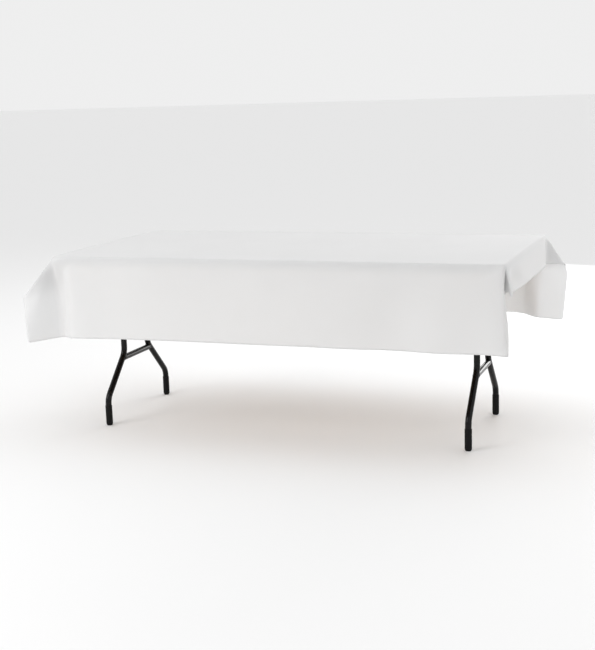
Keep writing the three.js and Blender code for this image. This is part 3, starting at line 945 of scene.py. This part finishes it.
def leg_line(end, leg):
    """The corners of a leg tube's axis, from the hinge tube down to the foot."""
    low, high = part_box(f"{end}_leg_{leg}")
    radius = (high.x - low.x) / 2
    side = -1 if leg == "front" else 1
    x = (low.x + high.x) / 2
    inner = min(abs(low.y), abs(high.y)) + radius
    outer = max(abs(low.y), abs(high.y)) - radius
    waist = middle_of(f"{end}_cross_bar").z + CROSS_BAR_DROP
    knee = waist - (outer - inner)
    return [
        Vector((x, side * inner, high.z)),
        Vector((x, side * inner, waist)),
        Vector((x, side * outer, knee)),
        Vector((x, side * outer, low.z)),
    ]


def distance_to_line(point, corners):
    """How far a point is from the nearest straight stretch of a line."""
    gaps = []
    for start, end in zip(corners, corners[1:]):
        along = end - start
        share = max(0.0, min(1.0, (point - start).dot(along) / along.length_squared))
        gaps.append((start + share * along - point).length)
    return min(gaps)


def weld_loop(start, way, around, radius, corners, tube_radius):
    """Where a round bar, running along way from start, meets a tube along a line."""
    side = way.cross(around)
    loop = []
    for k in range(LOOP_STEPS):
        angle = 2 * math.pi * k / LOOP_STEPS
        rim = start + radius * (math.cos(angle) * around + math.sin(angle) * side)
        for _ in range(MEETING_STEPS):
            if distance_to_line(rim, corners) <= tube_radius + WELD_FIT:
                break
            rim += MEETING_STEP * way
        loop.append(rim)
    return loop


def line_object(name, lines, closed=False):
    """Edges along each of several lines of points."""
    points = []
    edges = []
    for line in lines:
        first = len(points)
        points += line
        edges += [(first + k, first + k + 1) for k in range(len(line) - 1)]
        if closed:
            edges.append((first + len(line) - 1, first))
    return mesh_object(name, points, edges)


def bar_welds(bar, legs, tube_radius):
    """The two loops where a bar along Y meets the leg tubes."""
    axis = middle_of(bar)
    bar_end = bar_line(bar)[1].y
    loops = []
    for side, leg in zip((-1, 1), legs):
        start = Vector((axis.x, side * (bar_end - BAR_START_RADII * tube_radius), axis.z))
        loops.append(weld_loop(
            start, Vector((0, side, 0)), Vector((1, 0, 0)), bar_radius(bar), leg, tube_radius
        ))
    return loops


def leg_welds(end, legs, tube_radius):
    """The loops where the leg tubes meet the hinge tube."""
    hinge = bar_line(f"{end}_hinge_tube")
    loops = []
    for leg in legs:
        start = Vector((leg[0].x, leg[0].y, hinge[0].z - LEG_START_RADII * tube_radius))
        loops.append(weld_loop(
            start, Vector((0, 0, 1)), Vector((1, 0, 0)), tube_radius, hinge, tube_radius
        ))
    return loops


def leg_frame(end):
    """The tubes, bars and welds of one leg frame, as one piece."""
    legs = [leg_line(end, leg) for leg in LEGS]
    low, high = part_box(f"{end}_leg_front")
    tube_radius = (high.x - low.x) / 2
    parts = []
    steel = finishes["black_steel"]
    for name, lines in (
        ("legs", legs),
        ("cross_bar", [bar_line(f"{end}_cross_bar")]),
        ("stay_bar", [bar_line(f"{end}_stay_bar")]),
    ):
        radius = tube_radius if name != "stay_bar" else bar_radius(f"{end}_stay_bar")
        values = {"Tube Radius": radius, "Bend Radius": BEND_RADIUS, "Material": steel}
        parts.append(grown(line_object(name, lines), tubes, values, name))
    loops = leg_welds(end, legs, tube_radius)
    loops += bar_welds(f"{end}_cross_bar", legs, tube_radius)
    loops += bar_welds(f"{end}_stay_bar", legs, tube_radius)
    values = {
        "Bead Radius": BEAD_RADIUS,
        "Ripple": BEAD_RIPPLE,
        "Seed": WELD_SEED,
        "Material": steel,
    }
    parts.append(grown(line_object("welds", loops, closed=True), beads, values, "welds"))
    piece = joined(parts, f"{end}_leg_tubes")
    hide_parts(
        f"{end}_leg_front", f"{end}_leg_back", f"{end}_cross_bar", f"{end}_stay_bar"
    )
    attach(piece, f"{end}_leg_frame")
    return piece


for end in ENDS:
    piece = leg_frame(end)
    print(piece.name, len(piece.data.polygons), "faces")

# %% [markdown]
# ## Moulded foot sleeves
# A plastic sleeve with a closed, rolled end is pushed on to the bottom of each leg. It is
# turned from an outline: a flat face that meets the floor, a rolled edge, a straight side
# with two shallow grip rings, and a rounded rim where the tube goes in.

# %% Foot sleeves
TURN_STEPS = 48
ROLL_STEPS = 6
SLEEVE_WALL = 1.1 * MM
SLEEVE_FIT = 0.3 * MM
RIM_ROUND = 1.5 * MM
ROLL_HEIGHT = 12 * MM
FACE_RADIUS = 9 * MM
RING_HEIGHTS = (0.72, 0.80)
RING_HALF_WIDTH = 1.6 * MM
RING_DEPTH = 0.5 * MM
SLEEVE_FLOOR_SHARE = 0.06
WELD_TOGETHER = 0.001 * MM


def turned(name, outline, material):
    """A closed solid turned about Z from an outline of radius and height."""
    shape = bmesh.new()
    line = [shape.verts.new((radius, 0, height)) for radius, height in outline]
    edges = [shape.edges.new(pair) for pair in zip(line, line[1:])]
    bmesh.ops.spin(
        shape, geom=line + edges, cent=(0, 0, 0), axis=(0, 0, 1),
        angle=2 * math.pi, steps=TURN_STEPS, use_merge=True,
    )
    bmesh.ops.remove_doubles(shape, verts=shape.verts, dist=WELD_TOGETHER)
    bmesh.ops.dissolve_degenerate(shape, edges=shape.edges, dist=WELD_TOGETHER)
    bmesh.ops.recalc_face_normals(shape, faces=shape.faces)
    mesh = bpy.data.meshes.new(name)
    shape.to_mesh(mesh)
    shape.free()
    mesh.materials.append(material)
    mesh.shade_smooth()
    made = bpy.data.objects.new(name, mesh)
    bpy.context.scene.collection.objects.link(made)
    return made


def sleeve_outline(radius, height):
    """From the middle of the floor face, up the outside and into the bore."""
    outline = [(0, 0)]
    for k in range(ROLL_STEPS + 1):
        angle = math.pi / 2 * k / ROLL_STEPS
        outline.append((
            FACE_RADIUS + (radius - FACE_RADIUS) * math.sin(angle),
            ROLL_HEIGHT * (1 - math.cos(angle)),
        ))
    for share in RING_HEIGHTS:
        ring = share * height
        outline += [
            (radius, ring - RING_HALF_WIDTH),
            (radius - RING_DEPTH, ring - RING_HALF_WIDTH / 2),
            (radius - RING_DEPTH, ring + RING_HALF_WIDTH / 2),
            (radius, ring + RING_HALF_WIDTH),
        ]
    bore = radius - SLEEVE_WALL
    outline += [
        (radius, height - RIM_ROUND),
        (radius - RIM_ROUND / 3, height - RIM_ROUND / 3),
        (radius - RIM_ROUND, height),
        (bore, height),
        (bore, SLEEVE_FLOOR_SHARE * height),
        (0, SLEEVE_FLOOR_SHARE * height),
    ]
    return outline


def foot_sleeves(end):
    """Both sleeves of one leg frame."""
    sleeves = []
    for leg in LEGS:
        low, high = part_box(f"{end}_foot_{leg}")
        tube_radius = bar_radius(f"{end}_cross_bar")
        outline = sleeve_outline(tube_radius + SLEEVE_FIT + SLEEVE_WALL, high.z)
        sleeve = turned(f"foot_{leg}", outline, finishes["foot_plastic"])
        place = Matrix.Translation(((low.x + high.x) / 2, (low.y + high.y) / 2, 0))
        sleeve.data.transform(place)
        sleeves.append(sleeve)
    piece = joined(sleeves, f"{end}_foot_sleeves")
    piece.data.shade_smooth()
    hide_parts(f"{end}_foot_front", f"{end}_foot_back")
    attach(piece, f"{end}_leg_frame")
    return piece


for end in ENDS:
    piece = foot_sleeves(end)
    print(piece.name, len(piece.data.polygons), "faces")

# %% [markdown]
# ## Screws
# Eighteen pan head screws hold the rails and brackets to the board. They are all the
# same, so one is modelled with its domed head and cross recess, and a Geometry Nodes tree
# sets a copy at each place. A turn that differs from screw to screw comes from a fixed
# seed, since no one lines up the recesses of real screws.

# %% Screws
FASTENER_SEED = 11
DOME_STEPS = 6
RANDOM_NUMBER_OUTPUT = 1
RANDOM_NUMBER_TOP = 3
SHANK_RADIUS = 2 * MM
SCREW_HEAD_HEIGHT = 2.6 * MM
RECESS_WIDTH = 0.55 * MM
RECESS_REACH = 2.3 * MM
RECESS_DEPTH = 1.2 * MM


def dome_outline(radius, height):
    """A domed head from its crown out to its rim."""
    outline = []
    for k in range(DOME_STEPS + 1):
        angle = math.pi / 2 * k / DOME_STEPS
        outline.append((radius * math.sin(angle), -height * math.cos(angle)))
    return outline


def scatter_tree():
    """Sets a copy of an object at each point, turned about its own axis by a seed."""
    tree, given = new_tree("fasteners", {
        "Fastener": "NodeSocketObject",
        "Seed": "NodeSocketInt",
        "Material": "NodeSocketMaterial",
    })
    places = add_node(tree, "GeometryNodeMeshToPoints", Mesh=given["Geometry"])[0]
    copy = add_node(tree, "GeometryNodeObjectInfo", Object=given["Fastener"])["Geometry"]
    way = add_node(
        tree, "GeometryNodeInputNamedAttribute", {"data_type": "FLOAT_VECTOR"}, Name="way"
    )["Attribute"]
    lean = add_node(
        tree, "FunctionNodeAlignRotationToVector", {"axis": "Z"}, Vector=way
    )[0]
    turn = add_node(
        tree, "FunctionNodeRandomValue", {"data_type": "FLOAT"}, Seed=given["Seed"]
    )
    random_turn = turn[RANDOM_NUMBER_OUTPUT]
    random_turn.node.inputs[RANDOM_NUMBER_TOP].default_value = math.pi
    spin = add_node(tree, "ShaderNodeCombineXYZ", Z=random_turn)[0]
    spun = add_node(tree, "FunctionNodeEulerToRotation", Euler=spin)[0]
    both = add_node(
        tree, "FunctionNodeRotateRotation", {"rotation_space": "LOCAL"},
        Rotation=lean, Rotate_By=spun,
    )[0]
    copies = add_node(
        tree, "GeometryNodeInstanceOnPoints", Points=places, Instance=copy, Rotation=both
    )[0]
    end_tree(tree, copies, given["Material"])
    return tree


def point_object(name, places, ways):
    """Bare points, each with the way its fastener faces."""
    points = mesh_object(name, places)
    attribute = points.data.attributes.new("way", "FLOAT_VECTOR", "POINT")
    for index, way in enumerate(ways):
        attribute.data[index].vector = way
    return points


def cross_cutter():
    """A cross-shaped prism that stands in the crown of a screw's head."""
    arm, waist = RECESS_REACH, RECESS_WIDTH
    quarter = [(arm, waist), (waist, waist), (waist, arm)]
    outline = []
    for turn in range(4):
        angle = turn * math.pi / 2
        cosine, sine = math.cos(angle), math.sin(angle)
        outline += [(x * cosine - y * sine, x * sine + y * cosine) for x, y in quarter]
    crown = -SCREW_HEAD_HEIGHT
    return prism("cross_cutter", outline, (crown - RECESS_DEPTH, crown + RECESS_DEPTH))


def cut_recess(head):
    """Cuts a cross recess into the crown of a screw that points up."""
    cutter = cross_cutter()
    cut = head.modifiers.new("recess", "BOOLEAN")
    cut.object = cutter
    cut.operation = "DIFFERENCE"
    cut_head = frozen(head, "screw_master")
    bpy.data.objects.remove(cutter)
    return cut_head


def screw_master(node):
    """One screw with its head's bearing face at the origin and its shank up."""
    low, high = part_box(node)
    head_radius = (high.x - low.x) / 2
    length = high.z - low.z - SCREW_HEAD_HEIGHT
    outline = dome_outline(head_radius, SCREW_HEAD_HEIGHT)
    outline += [(SHANK_RADIUS, 0), (SHANK_RADIUS, length - SHANK_RADIUS), (0, length)]
    return cut_recess(turned("screw", outline, finishes["zinc_steel"]))


def all_screws():
    """Every screw in the underside of the top, as one piece."""
    names = sorted(name for name in nodes if "_screw_" in name)
    master = screw_master(names[0])
    places = []
    for name in names:
        low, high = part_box(name)
        places.append(((low.x + high.x) / 2, (low.y + high.y) / 2, low.z + SCREW_HEAD_HEIGHT))
    points = point_object("screw_places", places, [(0, 0, 1)] * len(places))
    values = {"Fastener": master, "Seed": FASTENER_SEED, "Material": finishes["zinc_steel"]}
    piece = grown(points, fasteners, values, "screws")
    bpy.data.objects.remove(master)
    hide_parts(*names)
    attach(piece, "table_top")
    return piece


fasteners = scatter_tree()
screws = all_screws()
print(screws.name, len(screws.data.polygons), "faces")

# %% [markdown]
# ## Rivets
# The folding stays turn on rivets: one through each stay bracket, one at each knee and
# one through each lug. A rivet is a domed head on a short shank. The heads are set by the
# same tree as the screws, each facing the way its head does, one piece for each body.

# %% Rivets
RIVET_HEAD_HEIGHT = 2 * MM
RIVET_SHANK_RADIUS = 3 * MM
RIVET_GROUPS = (
    ("table_top", ("left_stay_bracket_rivet", "right_stay_bracket_rivet")),
    ("left_leg_frame", ("left_lug_rivet",)),
    ("right_leg_frame", ("right_lug_rivet",)),
    ("left_upper_link", ("left_knee_rivet_upper",)),
    ("right_upper_link", ("right_knee_rivet_upper",)),
    ("left_lower_link", ("left_knee_rivet_lower",)),
    ("right_lower_link", ("right_knee_rivet_lower",)),
)


def rivet_heads(node):
    """Each head's bearing face and the way from it into the rivet."""
    low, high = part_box(node)
    middle = (low + high) / 2
    front = (Vector((middle.x, low.y + RIVET_HEAD_HEIGHT, middle.z)), Vector((0, 1, 0)))
    back = (Vector((middle.x, high.y - RIVET_HEAD_HEIGHT, middle.z)), Vector((0, -1, 0)))
    if node.endswith("bracket_rivet"):
        return [front, back]
    return [back] if node.endswith("rivet_upper") else [front]


def rivet_master(node, heads):
    """One rivet head with its share of the shank."""
    low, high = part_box(node)
    head_radius = (high.x - low.x) / 2
    shank = (high.y - low.y) / heads - RIVET_HEAD_HEIGHT
    outline = dome_outline(head_radius, RIVET_HEAD_HEIGHT)
    outline += [(RIVET_SHANK_RADIUS, 0), (RIVET_SHANK_RADIUS, shank), (0, shank)]
    return turned("rivet", outline, finishes["zinc_steel"])


def rivets_of(body, names):
    """The rivets that ride on one body, as one piece."""
    heads = [head for name in names for head in rivet_heads(name)]
    master = rivet_master(names[0], len(heads) // len(names))
    points = point_object("rivet_places", [p for p, _ in heads], [w for _, w in heads])
    values = {"Fastener": master, "Seed": FASTENER_SEED, "Material": finishes["zinc_steel"]}
    piece = grown(points, fasteners, values, f"{body}_rivets")
    bpy.data.objects.remove(master)
    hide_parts(*names)
    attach(piece, body)
    return piece


for body, names in RIVET_GROUPS:
    piece = rivets_of(body, names)
    print(piece.name, len(piece.data.polygons), "faces")
